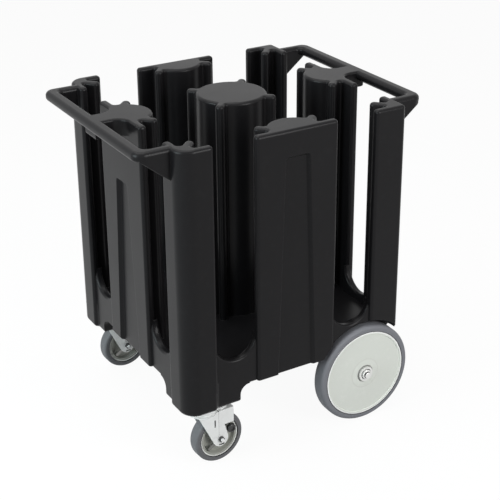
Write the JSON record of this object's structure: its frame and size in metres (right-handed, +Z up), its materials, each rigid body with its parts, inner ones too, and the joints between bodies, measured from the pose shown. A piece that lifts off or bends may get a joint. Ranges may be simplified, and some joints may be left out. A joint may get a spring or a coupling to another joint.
{
  "type": "dish caddy",
  "caption": "Moulded rolling caddy with open plate wells between fluted posts, end handles, large rear wheels and braked swivel casters.",
  "frame": {"origin": "on the floor, under the middle of the caddy", "axes": "+X from the caster end to the large-wheel end, +Y to the left long side, +Z up"},
  "size_m": [0.74, 0.616, 0.8],
  "materials": {
    "body_plastic": "charcoal polyethylene, softly glossy",
    "axle_steel": "zinc plated",
    "nylon": "natural nylon",
    "plated_steel": "bright zinc plated",
    "ball_steel": "polished",
    "wheel_plastic": "light grey moulded plastic",
    "caster_plastic": "grey moulded plastic",
    "grey_tyre": "grey non-marking rubber",
    "knob_plastic": "black plastic",
    "shoe_rubber": "ribbed rubber"
  },
  "bodies": {
    "caddy": {"moulded_body": "body_plastic", "axle": "axle_steel", "axle_bushes": "nylon", "axle_spacers": "nylon", "outer_washers": "axle_steel", "push_caps": "axle_steel", "plate_bolts": "plated_steel", "threaded_inserts": "plated_steel", "caster_plate_left": "plated_steel", "caster_balls_left": "ball_steel", "caster_kingpin_left": "plated_steel", "caster_plate_right": "plated_steel", "caster_balls_right": "ball_steel", "caster_kingpin_right": "plated_steel"},
    "large_wheel_left": {"large_wheel_hub_left": "wheel_plastic", "large_wheel_tyre_left": "grey_tyre", "large_wheel_bearing_left": "nylon"},
    "caster_swivel_left": {"caster_fork_left": "plated_steel", "caster_sleeve_left": "plated_steel", "caster_axle_bolt_left": "plated_steel", "caster_axle_nut_left": "plated_steel"},
    "caster_wheel_left": {"caster_hub_left": "caster_plastic", "caster_tyre_left": "grey_tyre"},
    "brake_left": {"brake_lever_left": "plated_steel", "brake_knob_left": "knob_plastic", "brake_shoe_left": "shoe_rubber"},
    "large_wheel_right": {"large_wheel_hub_right": "wheel_plastic", "large_wheel_tyre_right": "grey_tyre", "large_wheel_bearing_right": "nylon"},
    "caster_swivel_right": {"caster_fork_right": "plated_steel", "caster_sleeve_right": "plated_steel", "caster_axle_bolt_right": "plated_steel", "caster_axle_nut_right": "plated_steel"},
    "caster_wheel_right": {"caster_hub_right": "caster_plastic", "caster_tyre_right": "grey_tyre"},
    "brake_right": {"brake_lever_right": "plated_steel", "brake_knob_right": "knob_plastic", "brake_shoe_right": "shoe_rubber"}
  },
  "joints": [
    {"name": "large_wheel_left_roll", "type": "hinge", "parent": "caddy", "child": "large_wheel_left", "pos_m": [0.1975, 0.276, 0.127], "axis": [0, 1, 0], "continuous": true},
    {"name": "caster_left_swivel", "type": "hinge", "parent": "caddy", "child": "caster_swivel_left", "pos_m": [-0.228, 0.252, 0.145], "axis": [0, 0, 1], "continuous": true},
    {"name": "caster_left_roll", "type": "hinge", "parent": "caster_swivel_left", "child": "caster_wheel_left", "pos_m": [-0.19604, 0.25356, 0.0635], "axis": [-0.0488, 0.9988, 0], "continuous": true},
    {"name": "brake_left_press", "type": "hinge", "parent": "caster_swivel_left", "child": "brake_left", "pos_m": [-0.19604, 0.25356, 0.0635], "axis": [-0.0488, 0.9988, 0], "range_deg": [0, 20]},
    {"name": "large_wheel_right_roll", "type": "hinge", "parent": "caddy", "child": "large_wheel_right", "pos_m": [0.1975, -0.276, 0.127], "axis": [0, 1, 0], "continuous": true},
    {"name": "caster_right_swivel", "type": "hinge", "parent": "caddy", "child": "caster_swivel_right", "pos_m": [-0.228, -0.252, 0.145], "axis": [0, 0, 1], "continuous": true},
    {"name": "caster_right_roll", "type": "hinge", "parent": "caster_swivel_right", "child": "caster_wheel_right", "pos_m": [-0.19604, -0.25044, 0.0635], "axis": [-0.0488, 0.9988, 0], "continuous": true},
    {"name": "brake_right_press", "type": "hinge", "parent": "caster_swivel_right", "child": "brake_right", "pos_m": [-0.19604, -0.25044, 0.0635], "axis": [-0.0488, 0.9988, 0], "range_deg": [0, 20]}
  ]
}
